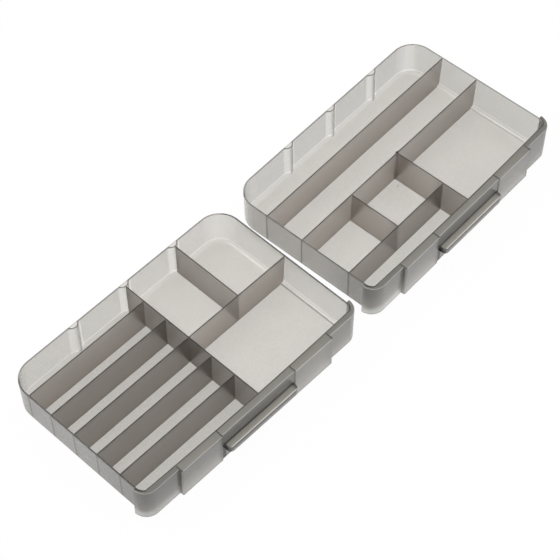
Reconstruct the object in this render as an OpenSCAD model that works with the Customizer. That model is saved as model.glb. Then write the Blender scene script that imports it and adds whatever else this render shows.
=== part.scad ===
// Pair of divided pull-out trays for a tool box, moulded in clear smoke grey plastic.
// Each tray is a drafted shell with a hung front, a finger pull and upright dividers.
// Lengths are millimetres. X runs along the pair, Z is up and the fronts face down Y.

/* [Tray] */
// Length of each tray over its rim
tray_length = 300; // [270:1:340]
// Depth of each tray from the inner face of the front wall to the outer back face
tray_depth = 191.8; // [185:0.2:215]
// Height of each tray from the underside to the rim
tray_height = 45.4; // [40:0.2:56]
// Thickness of the walls
wall = 1.7; // [1.3:0.1:2.2]
// Thickness of the floor
floor_thick = 2; // [1.4:0.1:3]
// How far each wall leans in between the rim and the underside
foot_inset = 1.5; // [0.6:0.1:2.4]
// Outer radius of the two back corners at the rim
back_corner = 26.5; // [18:0.5:30]
// Outer radius of the two front corners at the rim
front_corner = 11.9; // [10:0.1:12.5]
// Radius between the walls and the underside
bottom_round = 6; // [3:0.2:7.6]
// Radius between the walls and the floor inside
floor_fillet = 4; // [2:0.2:5]
// Distance from the right rim to the fine line sunk in the floor of the front bay
floor_line_inset = 6; // [5:0.1:9]
// Width of the fine line in the floor
floor_line_width = 0.5; // [0.3:0.05:0.8]
// Depth of the fine line in the floor
floor_line_depth = 0.4; // [0.2:0.05:0.6]

/* [Back grooves] */
// Distance from one back groove to the next
groove_pitch = 70.35; // [64:0.05:74]
// How far the middle groove stands off the middle of the tray
groove_offset = 9.2; // [0:0.2:12]
// How far each groove swells into the tray from the inner face of the back wall
groove_swell = 3.6; // [2.6:0.1:4]
// Radius of the swelling, taken inside the tray
groove_round = 6.9; // [6:0.1:8]
// Radius that blends the swelling into the wall, taken inside the tray
groove_blend = 5; // [3:0.1:6]
// Thickness of the rim that closes each groove at its top
groove_cap = 1.5; // [1:0.1:2.4]

/* [Front] */
// How far the hung front reaches past the rim, taken as the mean of its two ends
front_over = 3.3; // [2.9:0.1:5]
// How far the middle of the front stands off the middle of the tray
front_offset = 0.8; // [0:0.1:0.8]
// How far the front band stands forward of the rim line
band_reach = 5.4; // [4.8:0.1:6.6]
// Radius of the two ends of the front band
band_corner = 16; // [15.4:0.1:17]
// How far the two raised pads stand forward of the rim line
pad_reach = 9.8; // [9:0.1:12]
// Width of each raised pad
pad_width = 56.1; // [44:0.5:62]
// Radius of the upright edges of the pads
pad_round = 1.6; // [0.6:0.1:2.4]
// How far the recess face between the pads stands forward of the rim line
recess_reach = 8.6; // [8:0.1:9]
// Width of the recess between the pads
recess_width = 101.9; // [94:0.5:118]
// Thickness of the top flange that laps over the front wall
flange_thick = 1.7; // [1.4:0.1:2.4]
// Radius of the front top edge
top_round = 1.2; // [0.4:0.1:1.6]
// Height of the lower edge of the front above the underside of the tray
skirt_rise = 1; // [0.4:0.1:4]
// How far the flange reaches past the inner face of the front wall at the middle
flange_lap = 0.2; // [0.15:0.05:0.4]
// How much further the flange reaches in at its two ends, so its edge bows
flange_bow = 1.7; // [0.4:0.1:2]
// Thickness of the upright webs behind the edges of the pads
web_thick = 1.1; // [0.7:0.1:1.2]

/* [Finger pull] */
// Mean distance from each end of the finger pull to the pad beside it
pull_margin = 1.95; // [1:0.05:8]
// How far the finger pull stands forward of the rim line
pull_reach = 17; // [15:0.2:22]
// Height of the top of the finger pull above the underside of the tray
pull_top = 26.3; // [20:0.2:34]
// Depth of the finger pull from its top to its lower lip
pull_lip = 8.8; // [6:0.1:11]
// Radius of the two front corners of the finger pull
pull_corner = 5; // [3:0.2:5.6]
// Radius of the long front edge of the finger pull
pull_round = 2.2; // [1:0.1:2.4]

/* [Dividers] */
// Thickness of each divider
divider = 1.15; // [0.9:0.05:1.5]
// How far six equal rows together would reach past the outer back face
row_spare = 1.28; // [0:0.02:2]
// How far the cross divider stands to the left of the middle of the groove it meets
cross_shift = 0.8; // [0:0.1:2]
// Distance from the cross divider to the divider between the two back bays
bay_width = 71; // [66:0.5:75]
// Distance from the short divider of the right tray to its cross divider
short_width = 76.8; // [60:0.2:90]
// Width of the front row of the right tray
front_row = 31.9; // [26:0.1:36]
// Diameter of the round post on the right tray
post_across = 3.6; // [3.2:0.1:5]
// Height of the post above the rim
post_rise = 0.8; // [0.6:0.1:2]

/* [Pair] */
// Distance from the right end of the first front to the front corner of the second tray
pair_gap = 24.96; // [20:0.02:60]
// How far back the front corner of the second tray stands
pair_step = 1.08; // [0:0.1:6]
// Angle the second tray is turned by
pair_turn = 2.336; // [0:0.1:3]

/* [Fits] */
// Clearance between a divider and what it stands against
fit_gap = 0.15; // [0.1:0.05:0.25]

/* [Hidden] */
$fn = 40;
overrun = 1;
// The foot of a leaning wall is set this far inside its round, so the two cross cleanly
foot_set = 0.01;
tilt = atan(foot_inset / tray_height);
row_count = 6;
front_hub = front_corner - wall;
back_hub = tray_depth - back_corner;
groove_hub = groove_round - groove_swell - wall;
// The blends are set this far out, so they cross what they meet cleanly
blend_set = 0.01;
blend_hub = blend_set - groove_blend - wall;
blend_reach = groove_round + groove_blend - blend_set;
blend_place = sqrt(blend_reach * blend_reach - (groove_hub - blend_hub) * (groove_hub - blend_hub));
front_width = tray_length + 2 * front_over;
front_middle = tray_length / 2 + front_offset;
front_start = front_middle - front_width / 2;
front_end = front_middle + front_width / 2;
band_hub = band_corner - band_reach;
recess_start = front_middle - recess_width / 2;
recess_end = front_middle + recess_width / 2;
pull_length = recess_width - 2 * pull_margin;
pull_start = front_middle - pull_length / 2 + front_offset;
flange_seat = tray_height - flange_thick;
bow_steps = 8;
bow_run = (tray_length - 2 * front_corner) / bow_steps;
web_inset = (wall - web_thick) / 2;
row_pitch = (tray_depth + row_spare) / row_count;
cross_place = tray_length / 2 + groove_offset - cross_shift;
back_place = cross_place + bay_width;
short_place = cross_place - short_width;
middle_row = 3 * row_pitch - divider / 2;
right_back_row = 4.5 * row_pitch - divider / 2;
front_row_place = front_row + divider / 2;
slot_level = (floor_thick + tray_height) / 2;
pair_pitch = front_end + pair_gap;
pair_left = front_start;
pair_right = pair_pitch + cos(pair_turn) * (front_end - band_corner) - sin(pair_turn) * band_hub + band_corner;
pair_front = -pull_reach;
pair_back = pair_step + sin(pair_turn) * (tray_length - back_corner) + cos(pair_turn) * back_hub + back_corner;

// How far a leaning wall stands back from its rim line at a given level
function lean_at(level) = level * foot_inset / tray_height - foot_inset;

// Centre of the radius between a leaning wall and a flat base, from the rim line
function round_hub(base, round) = lean_at(base + round) - round / cos(tilt);

// Where the left tray stands in the frame of the pair
module left_place() {
    translate([-(pair_left + pair_right) / 2, -(pair_front + pair_back) / 2, 0])
        children();
}

// Where the right tray stands, turned a little as it lies
module right_place() {
    left_place()
        translate([pair_pitch, pair_step, 0])
            rotate([0, 0, pair_turn])
                children();
}

// Section from a hub out to a leaning wall with a round at its foot
module wall_section(reach, base, round, top) {
    hub = round_hub(base, round);
    arm = round - foot_set;
    foot = [hub + arm * cos(tilt), base + round - arm * sin(tilt)];
    core = reach / 5;
    inner = core / 2 - reach;
    translate([0, base])
        square([core, top - base]);
    translate([reach, 0]) {
        polygon([[inner, base], [hub, base], foot, [lean_at(top), top], [inner, top]]);
        translate([hub, base + round])
            intersection() {
                circle(r = round);
                translate([0, -round])
                    square([round, round]);
            }
    }
}

// One straight side of the tray form
module side_run(place, turn, run, reach, base, round, top) {
    translate(place)
        rotate([0, 0, turn])
            rotate([90, 0, 90])
                linear_extrude(run)
                    wall_section(reach, base, round, top);
}

// One corner of the tray form
module corner_turn(place, turn, reach, base, round, top) {
    translate(place)
        rotate([0, 0, turn])
            rotate_extrude(angle = 90)
                wall_section(reach, base, round, top);
}

// Solid tray shape, drawn in from the outer faces by an inset
module tray_form(inset, base, round, top) {
    front = front_corner - inset;
    back = back_corner - inset;
    far = tray_length - back_corner;
    near_run = tray_length - 2 * front_corner;
    side_length = back_hub - front_hub;
    corner_turn([front_corner, front_hub, 0], 180, front, base, round, top);
    corner_turn([tray_length - front_corner, front_hub, 0], 270, front, base, round, top);
    corner_turn([far, back_hub, 0], 0, back, base, round, top);
    corner_turn([back_corner, back_hub, 0], 90, back, base, round, top);
    side_run([tray_length - front_corner, front_hub, 0], 180, near_run, front, base, round, top);
    side_run([back_corner, back_hub, 0], 0, far - back_corner, back, base, round, top);
    side_run([back_corner, front_hub, 0], 90, side_length, back, base, round, top);
    side_run([far, back_hub, 0], 270, side_length, back, base, round, top);
    translate([back_corner, front_hub, base])
        cube([far - back_corner, side_length, top - base]);
}

// Outline of one back groove with its blends, from the outer back face, moved out by a gap
module groove_outline(gap) {
    share = (groove_round + gap) / blend_reach;
    start = groove_hub - share * (groove_hub - blend_hub);
    translate([0, groove_hub])
        circle(r = groove_round + gap);
    difference() {
        translate([-blend_place, start])
            square([2 * blend_place, overrun - start]);
        for (place = [-blend_place, blend_place])
            translate([place, blend_hub])
                circle(r = groove_blend - gap);
    }
}

// The three back grooves, leaning with the back wall, up to a distance below the rim
module groove_posts(gap, below) {
    run = tray_height + 2 * overrun;
    for (step = [-1, 0, 1])
        translate([tray_length / 2 + groove_offset + step * groove_pitch, tray_depth, tray_height])
            rotate([-tilt, 0, 0])
                translate([0, 0, -run])
                    linear_extrude(run - below)
                        groove_outline(gap);
}

// Point of the flat bow in which the flange ends, counted in steps along the front
function bow_point(step) = [
    front_corner + step * bow_run,
    flange_lap + flange_bow * pow(2 * step / bow_steps - 1, 2)
];

// Outline at the rim that stays part of the shell, bowed where the flange ends
module seat_outline(gap) {
    hub = flange_lap + front_corner;
    intersection() {
        union() {
            for (place = [front_corner, tray_length - front_corner])
                translate([place, hub])
                    circle(r = front_corner + gap);
            translate([-gap, hub])
                square([tray_length + 2 * gap, tray_depth]);
            translate([front_corner, -front_corner])
                square([tray_length - 2 * front_corner, 2 * front_corner + flange_lap]);
        }
        translate([0, -gap])
            polygon([
                [bow_point(bow_steps + 1)[0], 2 * tray_depth],
                [bow_point(-1)[0], 2 * tray_depth],
                for (step = [-1:bow_steps + 1]) bow_point(step)
            ]);
    }
}

// Layer at the front rim where the flange laps over the wall
module flange_step() {
    translate([0, 0, flange_seat])
        linear_extrude(flange_thick + overrun)
            difference() {
                translate([-overrun, -wall - overrun])
                    square([tray_length + 2 * overrun, front_corner + wall + overrun]);
                seat_outline(0);
            }
}

// Fine line sunk in the floor beside the right wall of the front bay
module floor_line() {
    translate([tray_length - floor_line_inset - floor_line_width, front_corner, floor_thick - floor_line_depth])
        cube([floor_line_width, middle_row - front_corner, floor_line_depth + overrun]);
}

// Moulded shell: floor, leaning walls, three back grooves and a stepped front rim
module tray_shell() {
    difference() {
        tray_form(0, 0, bottom_round, tray_height);
        difference() {
            tray_form(wall, floor_thick, floor_fillet, tray_height + overrun);
            groove_posts(0, -overrun);
        }
        groove_posts(-wall, groove_cap);
        flange_step();
        floor_line();
    }
}

// Section of the front from a hub line out to its face, with a soft top edge
module face_section(reach, low, high, soft) {
    square_reach = reach - soft;
    translate([0, low])
        square([square_reach, high - low]);
    translate([0, low])
        square([reach, high - low - soft]);
    translate([square_reach, high - soft])
        circle(r = soft);
}

// Front band with a quarter turn at each end
module band_form(inset, low, high, soft) {
    reach = band_corner - inset;
    for (side = [0, 1])
        translate([side == 0 ? front_start + band_corner : front_end - band_corner, band_hub, 0])
            rotate([0, 0, 180 + 90 * side])
                rotate_extrude(angle = 90)
                    face_section(reach, low, high, soft);
    translate([front_end - band_corner, band_hub, 0])
        rotate([90, 0, 270])
            linear_extrude(front_width - 2 * band_corner)
                face_section(reach, low, high, soft);
}

// Raised length of the front between two places, with rounded upright edges
module raised_form(start, finish, face, low, high, soft, round) {
    intersection() {
        translate([finish, band_hub, 0])
            rotate([90, 0, 270])
                linear_extrude(finish - start)
                    face_section(band_hub + face, low, high, soft);
        translate([0, 0, low])
            linear_extrude(high - low) {
                translate([start, round - face])
                    square([finish - start, band_hub + face - round]);
                translate([start + round, -face])
                    square([finish - start - 2 * round, round]);
                for (place = [start + round, finish - round])
                    translate([place, round - face])
                        circle(r = round);
            }
    }
}

// Band, recess face and two pads as one solid, drawn in by an inset
module front_form(inset, low, high, soft) {
    band_form(inset, low, high, soft);
    raised_form(
        recess_start - pad_width / 2, recess_end + pad_width / 2,
        recess_reach - inset, low, high, soft, pad_round
    );
    for (place = [recess_start - pad_width, recess_end])
        raised_form(
            place + inset, place + pad_width - inset,
            pad_reach - inset, low, high, soft, pad_round
        );
}

// Four upright webs that run back from the pads towards the front wall of the tray
module pad_webs() {
    middle_of_skin = wall / 2;
    for (place = [recess_start - pad_width, recess_end])
        for (left = [place + web_inset, place + pad_width - web_inset - web_thick])
            translate([left, middle_of_skin - pad_reach, -tray_height])
                cube([web_thick, pad_reach - middle_of_skin - wall - fit_gap, 3 * tray_height]);
}

// Hung front: flange over the front wall and a hollow skirt with two raised pads
module front_fascia() {
    difference() {
        front_form(0, skirt_rise, tray_height, top_round);
        difference() {
            front_form(wall, skirt_rise - overrun, flange_seat, top_round);
            pad_webs();
        }
        translate([0, 0, flange_seat - overrun])
            linear_extrude(flange_thick + 2 * overrun)
                seat_outline(fit_gap);
    }
}

// Outline of the finger pull seen from above
module pull_outline(inset) {
    start = pull_start + inset;
    finish = pull_start + pull_length - inset;
    round = pull_corner - inset;
    edge = -pull_reach + inset;
    translate([start, edge + round])
        square([finish - start, pull_reach - recess_reach - inset - round]);
    translate([start + round, edge])
        square([finish - start - 2 * round, round]);
    for (place = [start + round, finish - round])
        translate([place, edge + round])
            circle(r = round);
}

// Finger pull: a shelf on the recess face with a lip turned down all round
module finger_pull() {
    difference() {
        intersection() {
            translate([0, 0, pull_top - pull_lip])
                linear_extrude(pull_lip)
                    pull_outline(0);
            translate([pull_start + pull_length, -recess_reach, 0])
                rotate([90, 0, 270])
                    linear_extrude(pull_length)
                        face_section(pull_reach - recess_reach, pull_top - pull_lip, pull_top, pull_round);
        }
        translate([0, 0, pull_top - pull_lip - overrun])
            linear_extrude(pull_lip - wall + overrun)
                pull_outline(wall);
    }
}

// Inside of the tray seen from the front, less the fit clearance
module length_section() {
    reach = back_corner - wall - fit_gap;
    translate([tray_length - back_corner, 0])
        wall_section(reach, floor_thick, floor_fillet, tray_height);
    translate([back_corner, 0])
        mirror([1, 0])
            wall_section(reach, floor_thick, floor_fillet, tray_height);
    translate([back_corner, floor_thick])
        square([tray_length - 2 * back_corner, tray_height - floor_thick]);
}

// Inside of the tray seen from its end, less the fit clearance
module depth_section() {
    translate([back_hub, 0])
        wall_section(back_corner - wall - fit_gap, floor_thick, floor_fillet, tray_height);
    translate([front_hub, 0])
        mirror([1, 0])
            wall_section(front_hub - fit_gap, floor_thick, floor_fillet, tray_height);
    translate([front_hub, floor_thick])
        square([back_hub - front_hub, tray_height - floor_thick]);
}

// Divider that runs along the tray between two places
module long_panel(row, start, finish) {
    translate([0, row + divider / 2, 0])
        rotate([90, 0, 0])
            linear_extrude(divider)
                intersection() {
                    length_section();
                    translate([start, 0])
                        square([finish - start, tray_height]);
                }
}

// Divider that runs front to back between two places
module cross_panel(place, start, finish) {
    translate([place - divider / 2, 0, 0])
        rotate([90, 0, 90])
            linear_extrude(divider)
                intersection() {
                    depth_section();
                    translate([start, 0])
                        square([finish - start, tray_height]);
                }
}

// Half lap slot where two dividers cross, from one level to another
module lap_slot(place, row, low, high) {
    side = divider + 2 * fit_gap;
    translate([place - side / 2, row - side / 2, low])
        cube([side, side, high - low]);
}

// Clear edge left of a divider that stands front to back
function left_of(place) = place - divider / 2 - fit_gap;

// Divider of the left tray that crosses the long one with a half lap
module lapped_cross_panel() {
    difference() {
        cross_panel(cross_place, 0, tray_depth);
        groove_posts(fit_gap, -overrun);
        lap_slot(cross_place, middle_row, slot_level, tray_height + overrun);
    }
}

// Long divider of the left tray, slotted from below
module lapped_long_panel() {
    difference() {
        long_panel(middle_row, 0, tray_length);
        lap_slot(cross_place, middle_row, floor_thick - overrun, slot_level);
    }
}

// Divider of the back right bay, from the right groove to the long divider
module back_panel() {
    difference() {
        cross_panel(back_place, middle_row + divider / 2 + fit_gap, tray_depth);
        groove_posts(fit_gap, -overrun);
    }
}

// Short divider of the left tray, from the left wall to the cross divider
module slot_panel(count) {
    long_panel(count * row_pitch - divider / 2, 0, left_of(cross_place));
}

// Round post clipped over the corner where two dividers of the right tray meet
module corner_post() {
    side = divider + 2 * fit_gap;
    slot_height = tray_height + fit_gap - floor_thick + overrun;
    difference() {
        translate([cross_place, middle_row, floor_thick])
            cylinder(d = post_across, h = tray_height + post_rise - floor_thick);
        translate([cross_place - post_across, middle_row - side / 2, floor_thick - overrun])
            cube([2 * post_across, side, slot_height]);
        translate([cross_place - side / 2, middle_row - post_across, floor_thick - overrun])
            cube([side, post_across, slot_height]);
    }
}

// Left tray
module left_tray_shell() {
    color([0.62, 0.61, 0.58, 0.55]) left_place() tray_shell();
}

module left_front_fascia() {
    color([0.55, 0.54, 0.51, 0.7]) left_place() front_fascia();
}

module left_finger_pull() {
    color([0.55, 0.54, 0.51, 0.7]) left_place() finger_pull();
}

module left_cross_divider() {
    color([0.5, 0.48, 0.46, 0.6]) left_place() lapped_cross_panel();
}

module left_long_divider() {
    color([0.5, 0.48, 0.46, 0.6]) left_place() lapped_long_panel();
}

module left_back_divider() {
    color([0.5, 0.48, 0.46, 0.6]) left_place() back_panel();
}

module left_slot_divider_1() {
    color([0.5, 0.48, 0.46, 0.6]) left_place() slot_panel(5);
}

module left_slot_divider_2() {
    color([0.5, 0.48, 0.46, 0.6]) left_place() slot_panel(4);
}

module left_slot_divider_3() {
    color([0.5, 0.48, 0.46, 0.6]) left_place() slot_panel(2);
}

module left_slot_divider_4() {
    color([0.5, 0.48, 0.46, 0.6]) left_place() slot_panel(1);
}

// Right tray
module right_tray_shell() {
    color([0.62, 0.61, 0.58, 0.55]) right_place() tray_shell();
}

module right_front_fascia() {
    color([0.55, 0.54, 0.51, 0.7]) right_place() front_fascia();
}

module right_finger_pull() {
    color([0.55, 0.54, 0.51, 0.7]) right_place() finger_pull();
}

module right_cross_divider() {
    color([0.5, 0.48, 0.46, 0.6])
        right_place()
            cross_panel(cross_place, 0, middle_row - divider / 2 - fit_gap);
}

module right_middle_divider() {
    color([0.5, 0.48, 0.46, 0.6]) right_place() long_panel(middle_row, 0, tray_length);
}

module right_back_divider() {
    color([0.5, 0.48, 0.46, 0.6]) right_place() long_panel(right_back_row, 0, tray_length);
}

module right_front_divider() {
    color([0.5, 0.48, 0.46, 0.6]) right_place() long_panel(front_row_place, 0, left_of(cross_place));
}

module right_short_divider() {
    start = front_row_place + divider / 2 + fit_gap;
    color([0.5, 0.48, 0.46, 0.6])
        right_place()
            cross_panel(short_place, start, middle_row - divider / 2 - fit_gap);
}

module right_corner_post() {
    color([0.5, 0.48, 0.46, 0.6]) right_place() corner_post();
}

left_tray_shell();
left_front_fascia();
left_finger_pull();
left_cross_divider();
left_long_divider();
left_back_divider();
left_slot_divider_1();
left_slot_divider_2();
left_slot_divider_3();
left_slot_divider_4();
right_tray_shell();
right_front_fascia();
right_finger_pull();
right_cross_divider();
right_middle_divider();
right_back_divider();
right_front_divider();
right_short_divider();
right_corner_post();
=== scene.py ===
import bpy
from mathutils import Matrix, Vector


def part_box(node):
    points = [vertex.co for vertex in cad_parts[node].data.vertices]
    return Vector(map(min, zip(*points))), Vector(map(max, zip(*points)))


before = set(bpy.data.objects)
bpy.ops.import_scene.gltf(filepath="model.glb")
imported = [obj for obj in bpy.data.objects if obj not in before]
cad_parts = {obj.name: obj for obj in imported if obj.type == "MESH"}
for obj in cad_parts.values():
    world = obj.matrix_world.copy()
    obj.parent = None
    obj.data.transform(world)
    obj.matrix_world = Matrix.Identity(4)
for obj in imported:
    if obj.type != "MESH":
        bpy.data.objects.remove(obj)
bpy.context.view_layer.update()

# The camera, worked out from the photo. Its place is in the left tray's own frame, in metres.
FOCAL_PIXELS = 1922.11255
FRAME_PIXELS = 560
SENSOR_WIDTH = 36.0
CLIP_NEAR = 0.05
CLIP_FAR = 20.0
EYE = Vector((-0.5760675, -0.7027561, 1.6423164))
TURN = Vector((2.34301584, -1.00624192, 0.33743197))

# Where the trays lie. Places in a tray are in its own frame, in metres: x from the left end,
# y from the inner face of the front wall and z from the underside.
TRAY_DEPTH = 0.1918
SHELL_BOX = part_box("left_tray_shell")
CORNER = Vector((SHELL_BOX[0][0], SHELL_BOX[1][1] - TRAY_DEPTH, 0.0))
PAIR_STEP = Vector((0.32906, 0.00108, 0.0))
PAIR_TURN = 0.040771

# A pair of numbers below is where a soft edge starts and ends, unless its comment says otherwise.
# KEEP is the part that is left of the brightness or of a share, and CLEAR that of the clearness.
# LIFT is the part that is added, MORE is what a second share adds, HALF is half a width and a
# TINT is a colour.

# Directions a surface faces, as parts of its normal
FACES_UP = (0.5, 0.85)
FACES_ACROSS = (0.7, 0.9)
FACES_OUT_LEFT = (0.3, 0.8)
# The height of the rim, and where its level top begins
RIM = 0.0454
RIM_TOP = (RIM - 0.0016, RIM - 0.0006)
# Parts of a line's half width where it starts to fade and where it has gone
LINE_CORE = 0.6
LINE_FADE = 1.2


def place_camera():
    data = bpy.data.cameras.new("camera")
    data.sensor_fit = "HORIZONTAL"
    data.sensor_width = SENSOR_WIDTH
    data.lens = SENSOR_WIDTH * FOCAL_PIXELS / FRAME_PIXELS
    data.clip_start = CLIP_NEAR
    data.clip_end = CLIP_FAR
    cam = bpy.data.objects.new("camera", data)
    bpy.context.scene.collection.objects.link(cam)
    right, down, look = Matrix.Rotation(TURN.length, 3, TURN.normalized())
    basis = Matrix((right, -down, -look)).transposed()
    cam.matrix_world = Matrix.Translation(EYE + CORNER) @ basis.to_4x4()
    bpy.context.scene.camera = cam


class Graph:
    """Short calls for building one material's nodes."""

    def __init__(self, mat):
        mat.use_nodes = True
        self.nodes = mat.node_tree.nodes
        self.links = mat.node_tree.links
        self.nodes.clear()

    def put(self, node, key, value):
        """Links a socket or sets a value."""
        if isinstance(value, bpy.types.NodeSocket):
            self.links.new(value, node.inputs[key])
        else:
            node.inputs[key].default_value = value

    def add(self, kind, **values):
        node = self.nodes.new(kind)
        for key, value in values.items():
            self.put(node, key, value)
        return node

    def math(self, kind, *values):
        node = self.nodes.new("ShaderNodeMath")
        node.operation = kind
        for index, value in enumerate(values):
            self.put(node, index, value)
        return node.outputs[0]

    def times(self, first, *others):
        for other in others:
            first = self.math("MULTIPLY", first, other)
        return first

    def linear(self, value, slope, base):
        return self.math("MULTIPLY_ADD", value, slope, base)

    def most(self, first, second):
        return self.math("MAXIMUM", first, second)

    def rest(self, share):
        """What a share leaves of 1."""
        return self.math("SUBTRACT", 1.0, share)

    def absolute(self, value):
        return self.math("ABSOLUTE", value)

    def length(self, across, along):
        squares = self.math("ADD", self.times(across, across), self.times(along, along))
        return self.math("SQRT", squares)

    def below(self, value, limit):
        return self.math("LESS_THAN", value, limit)

    def above(self, value, limit):
        return self.math("GREATER_THAN", value, limit)

    def rise(self, value, start, end):
        """0 before the start, 1 after the end, smooth between."""
        node = self.nodes.new("ShaderNodeMapRange")
        node.interpolation_type = "SMOOTHSTEP"
        self.put(node, "Value", value)
        self.put(node, "From Min", start)
        self.put(node, "From Max", end)
        return node.outputs["Result"]

    def fall(self, value, start, end):
        """1 before the start, 0 after the end, smooth between."""
        return self.rest(self.rise(value, start, end))

    def line(self, value, place, half):
        """1 on a line at a place, fading to 0 at about its half width."""
        away = self.absolute(self.math("SUBTRACT", value, place))
        return self.fall(away, half * LINE_CORE, half * LINE_FADE)

    def lift(self, share, amount):
        """A factor that is 1 where the share is 0, and more by the amount where it is 1."""
        return self.linear(share, amount, 1.0)

    def keep(self, share, least):
        """A factor that is 1 where the share is 0, and the least value where it is 1."""
        return self.lift(share, least - 1.0)

    def mix(self, share, first, second):
        node = self.nodes.new("ShaderNodeMix")
        node.data_type = "RGBA"
        self.put(node, 0, share)
        # its sockets 6 and 7 are the colours
        for index, value in ((6, first), (7, second)):
            self.put(node, index, (*value, 1.0) if isinstance(value, tuple) else value)
        return node.outputs[2]

    def noise(self, vector, scale, detail):
        node = self.add("ShaderNodeTexNoise", Vector=vector, Scale=scale, Detail=detail)
        return node.outputs["Fac"]


class Place:
    """Where a point lies in its own tray, on which tray, and which way its surface faces."""

    def __init__(self, g):
        self.coords = g.add("ShaderNodeTexCoord").outputs["Object"]
        row = g.add("ShaderNodeSeparateXYZ", Vector=self.coords).outputs
        self.right = g.above(row["X"], 0.0)
        self.left = g.rest(self.right)
        both = g.add("ShaderNodeMix")
        both.data_type = "VECTOR"
        # its sockets 4 and 5 are the vectors
        g.put(both, 0, self.right)
        g.put(both, 4, self.in_tray(g, CORNER, 0.0))
        g.put(both, 5, self.in_tray(g, CORNER + PAIR_STEP, PAIR_TURN))
        tray = g.add("ShaderNodeSeparateXYZ", Vector=both.outputs[1]).outputs
        self.x, self.y, self.z = tray["X"], tray["Y"], tray["Z"]
        normal = g.add("ShaderNodeNewGeometry").outputs["Normal"]
        facing = g.add("ShaderNodeSeparateXYZ", Vector=normal).outputs
        self.normal_x = facing["X"]
        self.steep = g.absolute(facing["Z"])
        self.up = g.rise(self.steep, *FACES_UP)
        self.side = g.rest(self.up)
        self.across = g.rise(g.absolute(self.normal_x), *FACES_ACROSS)
        self.rim = g.times(self.up, g.rise(self.z, *RIM_TOP))

    def in_tray(self, g, start, turn):
        spot = g.add("ShaderNodeMapping")
        spot.vector_type = "TEXTURE"
        g.put(spot, "Vector", self.coords)
        g.put(spot, "Location", start)
        g.put(spot, "Rotation", (0.0, 0.0, turn))
        return spot.outputs[0]


# Smoke grey plastic. The noises have a scale and a detail, the bumps a strength and a distance.
SLOW_NOISE = (16.0, 3.0)
FLOW_NOISE = (70.0, 4.0)
HAZE_NOISE = (1100.0, 2.0)
SLOW_SHARE = 0.7
FLOW_SHARE = 0.3
FLOW_BUMP = (0.06, 0.0004)
HAZE_BUMP = (0.03, 0.00005)
HAZE_ROUGHNESS = 0.08
PLASTIC_IOR = 1.45
CLOUD = 0.06


def smoke(name, face, edge, level, rough, shade, clearness, grain=1.0):
    """Clear smoke grey plastic, tinted on its faces, with painted shade on its thin top edges and
    level faces.

    The shade works out the tint and the factors of brightness that belong to one kind of piece.
    The clearness is the part of the light let through, or what works it out for each place.
    """
    mat = bpy.data.materials.new(name)
    g = Graph(mat)
    p = Place(g)
    # slow clouding from the melt, finer flow marks, and a fine haze on the skin
    slow = g.noise(p.coords, *SLOW_NOISE)
    flow = g.noise(p.coords, *FLOW_NOISE)
    haze = g.noise(p.coords, *HAZE_NOISE)
    drift = g.math("ADD", g.times(slow, SLOW_SHARE), g.times(flow, FLOW_SHARE))
    drift = g.linear(drift, 2.0 * CLOUD, 1.0 - CLOUD)
    # the thin top edges and the level faces take darker tints, which are painted shade
    tint, factors = shade(g, p, g.mix(p.rim, g.mix(p.up, face, level), edge))
    scale = g.add("ShaderNodeVectorMath")
    scale.operation = "SCALE"
    g.put(scale, 0, tint)
    g.put(scale, "Scale", g.times(drift, *factors))
    strength, distance = FLOW_BUMP
    bump = g.add("ShaderNodeBump", Height=flow, Strength=strength * grain, Distance=distance)
    strength, distance = HAZE_BUMP
    skin = g.add("ShaderNodeBump", Height=haze, Strength=strength * grain, Distance=distance)
    g.put(skin, "Normal", bump.outputs["Normal"])
    shader = g.add("ShaderNodeBsdfPrincipled", IOR=PLASTIC_IOR)
    g.put(shader, "Base Color", scale.outputs[0])
    g.put(shader, "Roughness", g.linear(haze, HAZE_ROUGHNESS, rough - HAZE_ROUGHNESS / 2))
    g.put(shader, "Transmission Weight", clearness(g, p) if callable(clearness) else clearness)
    g.put(shader, "Normal", skin.outputs["Normal"])
    # light passes the thin plastic without caustics
    path = g.add("ShaderNodeLightPath")
    clear = g.add("ShaderNodeBsdfTransparent", Color=scale.outputs[0])
    both = g.add("ShaderNodeMixShader", Fac=path.outputs["Is Shadow Ray"])
    g.put(both, 1, shader.outputs[0])
    g.put(both, 2, clear.outputs[0])
    g.add("ShaderNodeOutputMaterial", Surface=both.outputs[0])
    return mat


# The shell's rims
PALE_RIM_TINT = (0.92, 0.90, 0.86)
FAR_RIM_TINT = (0.33, 0.32, 0.30)
TOWARDS_BACK = (0.150, 0.189)
TOWARDS_END = (0.280, 0.297)
BACK_RIM = (0.180, 0.189)
END_RIM = (0.290, 0.297)
FAR_RIM_CLEAR = 0.3
BRIM = (0.1909, 0.1914)
BRIM_KEEP = 0.62
# Its back grooves: the middle of the first, from one to the next, and how far back their hubs lie
GROOVE_FIRST = 0.08885
GROOVE_PITCH = 0.07035
GROOVE_HUB = 0.1934
GROOVE_SIDE = (0.0080, 0.0090)
GROOVES_START = (0.060, 0.064)
GROOVES_END = 0.262
GROOVE_DEPTH = (0.1820, 0.1830)
CAP_TINT = (0.62, 0.60, 0.57)
CAP_EDGE = (0.0053, 0.0060)
BEND_RADIUS = 0.0064
BEND_HALF = 0.0006
BEND_KEEP = 0.55
LEFT_FLANK = (-0.0050, 0.0020)
LEFT_FLANK_LEVEL = 1.10
MIDDLE_DROP = -0.14
RIGHT_FLANK = (0.0025, 0.0048)
RIGHT_FLANK_LIFT = 0.34
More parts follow.
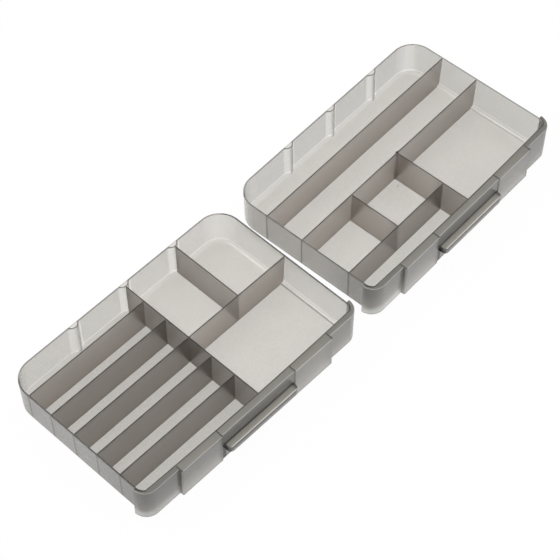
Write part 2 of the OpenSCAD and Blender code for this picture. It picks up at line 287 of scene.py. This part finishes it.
# Its floor
FILLET_BACK = (0.176, 0.180)
FILLET_END = (0.284, 0.288)
INNER_BACK = 0.1893
INNER_END = 0.2975
GLINT_LEVEL = 0.0054
GLINT_HALF = 0.0009
GLINT_LIFT = 0.14
HOLLOW_LEVEL = 0.0031
HOLLOW_HALF = 0.0010
HOLLOW_SHARE = 0.5
HOLLOW_KEEP = 0.93
FLOOR_TOP = 0.0023
FLOOR_SPACE = 0.004
FLOOR_LINE = 0.29375
FLOOR_LINE_HALF = 0.0009
FLOOR_LINE_KEEP = 0.45
FLOOR_LINE_RIGHT_KEEP = 0.45
GATE_X = 0.1526
GATE_Y = 0.0868
GATE_EDGE = (0.0005, 0.0013)
GATE_KEEP = 0.62
ROWS_END = 0.1584
ROW_FLOOR_KEEP = 0.91
BAY_FLOOR_KEEP = 0.975
# Where dividers meet its left wall
ROW_PITCH = 0.03218
ROW_SET = 0.0006
ROW_LINE = (0.0008, 0.0014)
ROWS_FRONT = 0.010
ROWS_BACK = 0.170
FRONT_DIVIDER = 0.0325
MIDDLE_DIVIDER = 0.0960
BACK_DIVIDER = 0.1442
DIVIDER_LINE_HALF = 0.0011
MEETING_DEPTH = 0.0035
MEETING_KEEP = 0.48
# Its walls and their outer faces
LEFT_WALL = (0.0035, 0.0060)
LEFT_WALL_NEAR = (0.020, 0.085)
LEFT_WALL_SHARE = 0.5
LEFT_WALL_KEEP = 0.58
LEFT_END = 0.0200
LEFT_END_CLEAR = 0.5
LEFT_END_KEEP = 0.62
BACK_WALL = (0.183, 0.186)
BACK_WALL_LIGHT_TINT = (0.80, 0.79, 0.77)
BACK_WALL_SHARE = 0.5
BACK_FACE = (0.186, 0.188)
END_FACE = (0.293, 0.296)
FAR_FACE_SHARE = 0.4
FAR_FACE_MORE = 0.6
FAR_FACE_KEEP = 0.93
END_FACE_KEEP = 0.92
SWEEP = (0.020, 0.280)
SWEEP_LIFT = -0.05
SWEEP_MORE = 0.08


def far_rim(g, p):
    """1 on the rims that lie furthest from the photograph's side."""
    end = g.times(p.right, g.rise(p.x, *END_RIM))
    return g.times(p.rim, g.most(g.rise(p.y, *BACK_RIM), end))


def left_face(g, p):
    """1 on the outer face at a tray's left end."""
    outward = g.rise(g.times(p.normal_x, -1.0), *FACES_OUT_LEFT)
    return g.times(outward, g.below(p.x, LEFT_END))


def shell_clearness(g, p):
    """The far rims and the outer faces at the left ends let less show through."""
    return g.times(g.keep(far_rim(g, p), FAR_RIM_CLEAR), g.keep(left_face(g, p), LEFT_END_CLEAR))


def groove_marks(g, p):
    """Share of a back groove at a point, how far right it lies in it, and how far from its hub."""
    run = g.math("SUBTRACT", p.x, GROOVE_FIRST - GROOVE_PITCH / 2)
    off = g.math("SUBTRACT", g.math("MODULO", run, GROOVE_PITCH), GROOVE_PITCH / 2)
    among = g.times(g.rise(p.x, *GROOVES_START), g.rise(p.y, *GROOVE_DEPTH))
    among = g.times(among, g.below(p.x, GROOVES_END))
    mark = g.times(g.fall(g.absolute(off), *GROOVE_SIDE), among)
    return mark, off, g.length(off, g.math("SUBTRACT", p.y, GROOVE_HUB))


def rim_tint(g, p, mark, radius, tint):
    # the rim over a groove is a thin cap, with less painted shade than the rim along the walls
    cap = g.times(mark, p.rim, g.fall(radius, *CAP_EDGE))
    tint = g.mix(cap, tint, CAP_TINT)
    # painted light makes thin rims lighter towards the back and the right, and painted shade
    # darkens those furthest away
    far = g.most(g.rise(p.y, *TOWARDS_BACK), g.rise(p.x, *TOWARDS_END))
    tint = g.mix(g.times(p.rim, far, g.rest(cap)), tint, PALE_RIM_TINT)
    return g.mix(g.times(far_rim(g, p), g.rest(cap)), tint, FAR_RIM_TINT)


def groove_shade(g, p, mark, off, radius):
    # painted shade draws the inner edge of the rim round each groove as a dark line, and darkens
    # its back edge
    bend = g.times(mark, p.rim, g.line(radius, BEND_RADIUS, BEND_HALF))
    brim = g.times(p.rim, g.rise(p.y, *BRIM))
    # each groove is a swelling, with painted shade darkest in its middle and painted light on its
    # right flank
    flank = g.linear(g.rise(off, *LEFT_FLANK), MIDDLE_DROP, LEFT_FLANK_LEVEL)
    flank = g.linear(g.rise(off, *RIGHT_FLANK), RIGHT_FLANK_LIFT, flank)
    swell = g.lift(g.times(mark, p.side), g.math("SUBTRACT", flank, 1.0))
    return g.keep(bend, BEND_KEEP), g.keep(brim, BRIM_KEEP), swell


def floor_shade(g, p):
    # the fillet round the floor catches a thin line of light at its top, with a darker one below,
    # and both are twice as strong in the right tray
    foot = g.most(g.rise(p.y, *FILLET_BACK), g.rise(p.x, *FILLET_END))
    foot = g.times(foot, g.below(p.y, INNER_BACK), g.below(p.x, INNER_END))
    glint = g.times(foot, g.line(p.z, GLINT_LEVEL, GLINT_HALF))
    glint = g.times(glint, g.linear(p.right, GLINT_LIFT, GLINT_LIFT))
    hollow = g.times(foot, g.line(p.z, HOLLOW_LEVEL, HOLLOW_HALF))
    hollow = g.times(hollow, g.linear(p.right, HOLLOW_SHARE, HOLLOW_SHARE))
    # the fine line sunk in the floor of the front bay, fainter in the right tray
    line = g.times(g.line(p.x, FLOOR_LINE, FLOOR_LINE_HALF), g.below(p.y, MIDDLE_DIVIDER))
    line = g.times(line, g.below(p.z, FLOOR_TOP), g.keep(p.right, FLOOR_LINE_RIGHT_KEEP))
    # a small gate mark in the floor of the right tray, beside the post
    away = g.length(g.math("SUBTRACT", p.x, GATE_X), g.math("SUBTRACT", p.y, GATE_Y))
    gate = g.times(p.right, g.fall(away, *GATE_EDGE), g.below(p.z, FLOOR_TOP))
    # less light reaches the narrow rows of the left tray and the front bay of the right one
    low = g.below(p.z, FLOOR_SPACE)
    rows = g.times(p.left, g.below(p.x, ROWS_END), low)
    bay = g.times(g.above(p.x, ROWS_END), g.below(p.y, MIDDLE_DIVIDER), low, p.right)
    return (
        g.math("ADD", glint, 1.0), g.keep(hollow, HOLLOW_KEEP), g.keep(line, FLOOR_LINE_KEEP),
        g.keep(gate, GATE_KEEP), g.keep(rows, ROW_FLOOR_KEEP), g.keep(bay, BAY_FLOOR_KEEP),
    )


def meeting_lines(g, p):
    """1 where a divider stands behind the left wall."""
    step = g.math("PINGPONG", g.math("ADD", p.y, ROW_SET), ROW_PITCH / 2)
    rows = g.times(g.fall(step, *ROW_LINE), g.above(p.y, ROWS_FRONT), g.below(p.y, ROWS_BACK))
    others = g.line(p.y, BACK_DIVIDER, DIVIDER_LINE_HALF)
    for place in (MIDDLE_DIVIDER, FRONT_DIVIDER):
        others = g.most(others, g.line(p.y, place, DIVIDER_LINE_HALF))
    return g.math("ADD", g.times(rows, p.left), g.times(others, p.right))


def wall_shade(g, p):
    # where a divider meets the left wall, a thin dark line shows through it
    meets = g.times(meeting_lines(g, p), g.times(p.side, g.below(p.x, MEETING_DEPTH)))
    # the left wall is in shade, most of all near the front
    near = g.linear(g.fall(p.y, *LEFT_WALL_NEAR), LEFT_WALL_SHARE, LEFT_WALL_SHARE)
    wall = g.times(p.side, g.fall(p.x, *LEFT_WALL), near)
    # nothing stands to the left of the left tray, so its outer face would be too light, and
    # painted shade darkens it
    open_end = g.times(left_face(g, p), p.left)
    # painted shade makes the back and right walls a little darker, most of all those of the right
    # tray
    end = g.rise(p.x, *END_FACE)
    far = g.times(g.most(g.rise(p.y, *BACK_FACE), end), p.side)
    far = g.times(far, g.linear(p.right, FAR_FACE_MORE, FAR_FACE_SHARE))
    end = g.times(p.side, p.right, end)
    # painted light and shade make the back wall of the left tray lighten to the right
    rear = g.times(p.left, p.side, g.rise(p.y, *BACK_WALL))
    sweep = g.linear(g.rise(p.x, *SWEEP), SWEEP_MORE, SWEEP_LIFT)
    return (
        g.keep(meets, MEETING_KEEP), g.keep(wall, LEFT_WALL_KEEP), g.keep(open_end, LEFT_END_KEEP),
        g.keep(far, FAR_FACE_KEEP), g.keep(end, END_FACE_KEEP), g.lift(rear, sweep),
    )


def shell_shade(g, p, tint):
    mark, off, radius = groove_marks(g, p)
    tint = rim_tint(g, p, mark, radius, tint)
    # painted light makes the back wall of the right tray a little lighter and colder
    back_wall_light = g.times(p.right, p.side, g.rise(p.y, *BACK_WALL), BACK_WALL_SHARE)
    tint = g.mix(back_wall_light, tint, BACK_WALL_LIGHT_TINT)
    return tint, (*groove_shade(g, p, mark, off, radius), *floor_shade(g, p), *wall_shade(g, p))


# The front's flange, edges and webs. The webs' places are from the middle of the front.
FRONT_MIDDLE = 0.1508
TRAY_MIDDLE = 0.150
FRONT_CORNER = 0.0119
FLANGE_LAP = 0.0002
FLANGE_BOW = 0.0017
FRONT_RIM_TINT = (0.10, 0.095, 0.085)
FRONT_RIM_EDGE = (0.0009, 0.0015)
LINE_TINT = (0.95, 0.94, 0.92)
TOP_LINE_START = (0.45, 0.60)
TOP_LINE_END = (0.80, 0.93)
TOP_LINE_LEVEL = (0.030, 0.036)
PULL_LINE_START = (0.66, 0.78)
PULL_LINE_END = (0.88, 0.96)
PULL_LINE_SHARE = 0.50
PULL_LOW = 0.020
PULL_HIGH = 0.028
WEB_NEAR = 0.0518
WEB_FAR = 0.1062
WEB_HALF = 0.0008
WEB_BACK = -0.0005
WEB_KEEP = 0.38
# Its faces, pads and recess. What lies in front of the front wall has a y below 0.
PAD_FACE = -0.0092
RECESS_FRONT = -0.0096
RECESS_BACK = -0.0045
FACE_HEIGHT = (-0.004, 0.040)
FACE_NEAR = (0.080, 0.240)
FACE_SHARE = 0.55
FACE_MORE = 0.45
FACE_KEEP = 0.60
PAD_SIDE_BACK = -0.0050
PAD_SIDE = (-0.0082, -0.0070)
PADS_END = 0.112
PAD_SIDE_RIGHT_KEEP = 0.55
PAD_SIDE_KEEP = 0.50
PAD_END_HALF = 0.0011
PAD_END_KEEP = 0.50
PAD_EDGE = (0.0925, 0.0995)
PAD_EDGE_END = 0.1004
PAD_EDGE_HEIGHT = (0.004, 0.030)
PAD_EDGE_SHARE = 0.4
PAD_EDGE_MORE = 0.6
PAD_EDGE_KEEP = 0.45
PAD_LIFT = 0.10
PAD_MORE = -0.14
BAND_START = 0.1071
OPEN_BAND_KEEP = 0.45
BAND_KEEP = 0.82
FOOT_TINT = (0.80, 0.81, 0.78)
FOOT_HEIGHT = (0.005, 0.017)
FOOT_SHARE = 0.25
FOOT_MORE = 0.70
LIT_BAND = (0.004, 0.022)
LIT_BAND_LIFT = 0.22
LIT_BAND_MORE = 0.12
RECESS_HALF = 0.0510
RECESS_HEIGHT = (0.028, 0.042)
RECESS_SHARE = 0.68
RECESS_HIGH_DROP = 0.20
RECESS_KEEP = 0.55
# The finger pull
PULL_TOP = 0.0263
RECESS_FACE = 0.0086
PULL_BACK = -0.0084
PULL_TIP = (-0.0165, -0.0140)
PULL_TOP_LIFT = 0.70
PULL_TOP_MORE = 0.15
CREASE = (0.0008, 0.0020)
CREASE_KEEP = 0.40
LIP_BACK = -0.0160
LIP_TOP = 0.0250
LIP_HEIGHT = (0.0185, 0.0235)
LIP_KEEP = 0.42
STOP = (0.1950, 0.2000)
STOP_END = 0.2012
STOP_TOP = 0.0270
STOP_BACK = -0.0088
STOP_KEEP = 0.42
SHADE_START = 0.0988
SHADE_END = 0.1045
SHADE_HEIGHT = (0.020, 0.030)
SHADE_KEEP = 0.15


def flange_edge(g, p):
    """Distance from the flange's inner edge, which bows along the front and rounds the corners."""
    away = g.absolute(g.math("SUBTRACT", p.x, TRAY_MIDDLE))
    share = g.math("DIVIDE", away, TRAY_MIDDLE - FRONT_CORNER)
    bow = g.linear(g.times(share, share), FLANGE_BOW, FLANGE_LAP)
    turn_x = g.most(g.math("SUBTRACT", away, TRAY_MIDDLE - FRONT_CORNER), 0.0)
    turn_y = g.most(g.math("SUBTRACT", FRONT_CORNER + FLANGE_LAP, p.y), 0.0)
    turned = g.math("SUBTRACT", g.length(turn_x, turn_y), FRONT_CORNER)
    return g.most(g.math("SUBTRACT", bow, p.y), turned)


def front_tint(g, p, tint):
    # painted shade: the flange ends in a dark line along the inside of the front
    rim = g.fall(flange_edge(g, p), *FRONT_RIM_EDGE)
    tint = g.mix(g.times(rim, p.rim), tint, FRONT_RIM_TINT)
    # the long rounded edges of the top and the pull catch the light as thin lines
    line = g.times(g.rise(p.steep, *TOP_LINE_START), g.fall(p.steep, *TOP_LINE_END))
    tint = g.mix(g.times(line, g.rise(p.z, *TOP_LINE_LEVEL)), tint, LINE_TINT)
    thin = g.times(g.rise(p.steep, *PULL_LINE_START), g.fall(p.steep, *PULL_LINE_END))
    thin = g.times(thin, g.below(p.z, PULL_HIGH), g.above(p.z, PULL_LOW))
    return g.mix(g.times(thin, PULL_LINE_SHARE), tint, LINE_TINT)


def pad_shade(g, p, middle, band):
    # painted shade makes the inner half of each pad's side a dark line
    inner = g.times(p.across, g.below(p.y, PAD_SIDE_BACK), g.rise(p.y, *PAD_SIDE))
    inner = g.times(inner, g.below(middle, PADS_END), g.keep(p.right, PAD_SIDE_RIGHT_KEEP))
    # the webs behind the pads show through the flange and at the right edge of each pad, and at
    # the left pad's right edge painted shade widens it into a band
    webs = g.most(g.line(middle, WEB_NEAR, WEB_HALF), g.line(middle, WEB_FAR, WEB_HALF))
    webs = g.times(webs, p.rim, g.below(p.y, WEB_BACK))
    end = g.line(p.x, FRONT_MIDDLE + WEB_FAR, PAD_END_HALF)
    end = g.times(end, p.side, g.below(p.y, RECESS_BACK))
    edge = g.times(g.rise(p.x, *PAD_EDGE), g.below(p.x, PAD_EDGE_END))
    edge = g.times(edge, g.linear(g.rise(p.z, *PAD_EDGE_HEIGHT), PAD_EDGE_MORE, PAD_EDGE_SHARE))
    edge = g.times(edge, p.side, g.below(p.y, PAD_FACE))
    # painted light makes the right tray's left pad lighter, and painted shade its right pad a
    # little darker
    pads = g.times(p.side, p.right, g.rest(band), g.below(p.y, PAD_FACE))
    turned = g.linear(g.above(p.x, FRONT_MIDDLE), PAD_MORE, PAD_LIFT)
    return (
        g.keep(inner, PAD_SIDE_KEEP), g.keep(webs, WEB_KEEP), g.keep(end, PAD_END_KEEP),
        g.keep(edge, PAD_EDGE_KEEP), g.lift(pads, turned),
    )


def pull_shade(g, p, middle):
    # painted light brightens the top of the pull, most at its front edge, and painted shade draws
    # a dark crease along the recess
    top = g.times(g.above(p.z, PULL_LOW), g.below(p.z, PULL_HIGH), g.below(p.y, PULL_BACK), p.up)
    tip = g.linear(g.fall(p.y, *PULL_TIP), PULL_TOP_MORE, PULL_TOP_LIFT)
    level = g.absolute(g.math("SUBTRACT", p.z, PULL_TOP))
    reach = g.absolute(g.math("ADD", p.y, RECESS_FACE))
    crease = g.times(g.fall(g.math("ADD", level, reach), *CREASE), g.below(middle, RECESS_HALF))
    # painted shade darkens its lip just under the rounded edge, clearing towards its foot
    lip = g.times(g.below(p.y, LIP_BACK), g.below(p.z, LIP_TOP), g.rise(p.z, *LIP_HEIGHT))
    # its right end is in shade
    stop = g.times(g.rise(p.x, *STOP), g.below(p.x, STOP_END))
    stop = g.times(stop, g.below(p.z, STOP_TOP), g.below(p.y, STOP_BACK))
    # the lip's left end and what shows between it and the pad are in shade
    shade = g.times(g.above(p.x, SHADE_START), g.below(p.x, SHADE_END))
    shade = g.times(shade, p.side, g.fall(p.z, *SHADE_HEIGHT))
    return (
        g.lift(top, tip), g.keep(crease, CREASE_KEEP), g.keep(lip, LIP_KEEP),
        g.keep(stop, STOP_KEEP), g.keep(shade, SHADE_KEEP),
    )


def front_shade(g, p, tint):
    tint = front_tint(g, p, tint)
    middle = g.absolute(g.math("SUBTRACT", p.x, FRONT_MIDDLE))
    band = g.above(middle, BAND_START)
    # painted shade makes the faces darkest high on the left, clearing towards the bottom
    near = g.linear(g.fall(p.x, *FACE_NEAR), FACE_MORE, FACE_SHARE)
    high = g.times(p.side, g.rise(p.z, *FACE_HEIGHT), near)
    # painted shade makes the bands at the two ends a little darker than the pads, the left tray's
    # right one least
    open_end = g.times(p.left, g.above(p.x, FRONT_MIDDLE))
    ends = g.times(band, g.keep(open_end, OPEN_BAND_KEEP))
    # painted light clears every face at its foot, most of all the bands at the left ends
    foot = g.times(p.side, g.fall(p.z, *FOOT_HEIGHT))
    left_band = g.times(g.below(p.x, FRONT_MIDDLE), band)
    tint = g.mix(g.times(foot, g.linear(left_band, FOOT_MORE, FOOT_SHARE)), tint, FOOT_TINT)
    # painted light makes the right tray's left band lighter all over, most of all beside the pad
    lit = g.linear(g.rise(p.x, *LIT_BAND), LIT_BAND_MORE, LIT_BAND_LIFT)
    lit_band = g.lift(g.times(left_band, p.right, p.side), lit)
    # little light reaches the recess above and under the finger pull
    sunk = g.times(g.below(middle, RECESS_HALF), p.side)
    sunk = g.times(sunk, g.below(p.y, RECESS_BACK), g.above(p.y, RECESS_FRONT))
    deep = g.math("SUBTRACT", RECESS_SHARE, g.times(g.rise(p.z, *RECESS_HEIGHT), RECESS_HIGH_DROP))
    return tint, (
        g.keep(high, FACE_KEEP), g.keep(ends, BAND_KEEP), lit_band,
        g.keep(g.times(sunk, deep), RECESS_KEEP),
        *pad_shade(g, p, middle, band), *pull_shade(g, p, middle),
    )


# The dividers
PANEL_LOW_TINT = (0.49, 0.44, 0.40)
PANEL_HIGH_TINT = (0.66, 0.63, 0.60)
PANEL_HEIGHT = (-0.004, 0.052)
PANEL_ROWS_END = 0.1592
ROWS_FADE = (0.120, 0.170)
ROWS_FADE_SHARE = 0.7
PANEL_ROWS_KEEP = 0.72
LEFT_ACROSS_KEEP = 0.82
RIGHT_ACROSS_KEEP = 0.95
PANEL_NEAR = (0.034, 0.050)
PANEL_NEAR_KEEP = 0.75
PANEL_GLOW = (0.060, 0.240)
PANEL_GLOW_LIFT = 0.07


def panel_shade(g, p, tint):
    # painted light makes the faces lighter and greyer towards the top
    painted_height_light = g.mix(g.rise(p.z, *PANEL_HEIGHT), PANEL_LOW_TINT, PANEL_HIGH_TINT)
    tint = g.mix(p.side, tint, painted_height_light)
    # less light reaches the narrow rows of the left tray, most of all the front ones
    fade = g.rest(g.times(g.rise(p.y, *ROWS_FADE), ROWS_FADE_SHARE))
    rows = g.times(p.left, g.below(p.x, PANEL_ROWS_END), fade, p.side)
    # dividers that run front to back are in more shade, as are the right tray's front ones
    across = g.times(p.side, p.across)
    near = g.times(p.right, g.fall(p.y, *PANEL_NEAR), p.side)
    # painted light makes the long dividers of the right tray lighter to the left
    glow = g.times(p.side, p.right, g.rest(across), g.fall(p.x, *PANEL_GLOW))
    return tint, (
        g.keep(rows, PANEL_ROWS_KEEP), g.keep(g.times(across, p.left), LEFT_ACROSS_KEEP),
        g.keep(near, PANEL_NEAR_KEEP), g.keep(g.times(across, p.right), RIGHT_ACROSS_KEEP),
        g.lift(glow, PANEL_GLOW_LIFT),
    )


# the edge and level tints are darker than the face tints: painted shade
SHELL = smoke(
    "shell_smoke", face=(0.76, 0.74, 0.705), edge=(0.60, 0.575, 0.54), level=(0.72, 0.70, 0.665),
    rough=0.26, shade=shell_shade, clearness=shell_clearness,
)
FRONT = smoke(
    "front_smoke", face=(0.56, 0.54, 0.51), edge=(0.34, 0.325, 0.295), level=(0.34, 0.325, 0.295),
    rough=0.2, shade=front_shade, clearness=0.55, grain=0.3,
)
PANEL = smoke(
    "divider_smoke", face=(0.56, 0.50, 0.45), edge=(0.14, 0.13, 0.115), level=(0.30, 0.28, 0.26),
    rough=0.30, shade=panel_shade, clearness=1.0,
)

for name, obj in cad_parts.items():
    mat = SHELL if "shell" in name else FRONT if "fascia" in name or "pull" in name else PANEL
    obj.data.materials.clear()
    obj.data.materials.append(mat)


# The studio, in metres and watts
FLOOR_SIZE = 12.0
FLOOR_DROP = 0.0002
PAPER = (0.8, 0.8, 0.8, 1.0)
WHITE = (1.0, 1.0, 1.0, 1.0)
WORLD_LIGHT = 0.75
# The part of plain white that the floor shows to the camera and through the plastic
FLOOR_SEEN = 0.97
FLOOR_THROUGH = 0.75
# The two soft lights
KEY = {"size": 1.6, "power": 26.0, "place": (-0.9, 0.9, 1.9)}
FILL = {"size": 1.8, "power": 10.0, "place": (1.2, -0.8, 1.8)}


def light(name, size, power, place):
    """A square soft light that faces the origin."""
    data = bpy.data.lights.new(name, "AREA")
    data.shape = "SQUARE"
    data.size = size
    data.energy = power
    obj = bpy.data.objects.new(name, data)
    bpy.context.scene.collection.objects.link(obj)
    obj.location = place
    obj.rotation_euler = (-Vector(place)).to_track_quat("-Z", "Y").to_euler()


def floor_paper():
    """Pale paper that takes shadows, and shows white to the camera and through the plastic."""
    mat = bpy.data.materials.new("floor_paper")
    g = Graph(mat)
    paper = g.add("ShaderNodeBsdfDiffuse", Color=PAPER)
    glow = g.add("ShaderNodeEmission", Color=WHITE, Strength=1.0)
    path = g.add("ShaderNodeLightPath").outputs
    through = g.most(path["Is Glossy Ray"], path["Is Transmission Ray"])
    share = g.most(g.times(path["Is Camera Ray"], FLOOR_SEEN), g.times(through, FLOOR_THROUGH))
    both = g.add("ShaderNodeMixShader", Fac=share)
    g.put(both, 1, paper.outputs[0])
    g.put(both, 2, glow.outputs[0])
    g.add("ShaderNodeOutputMaterial", Surface=both.outputs[0])
    return mat


def studio():
    bpy.ops.mesh.primitive_plane_add(size=FLOOR_SIZE, location=(0, 0, -FLOOR_DROP))
    floor = bpy.context.object
    floor.name = "floor"
    floor.data.materials.append(floor_paper())
    world = bpy.data.worlds.new("world")
    bpy.context.scene.world = world
    world.use_nodes = True
    back = world.node_tree.nodes["Background"]
    back.inputs["Color"].default_value = WHITE
    back.inputs["Strength"].default_value = WORLD_LIGHT
    light("key", **KEY)
    light("fill", **FILL)


place_camera()
studio()
bpy.context.scene.view_settings.view_transform = "Standard"
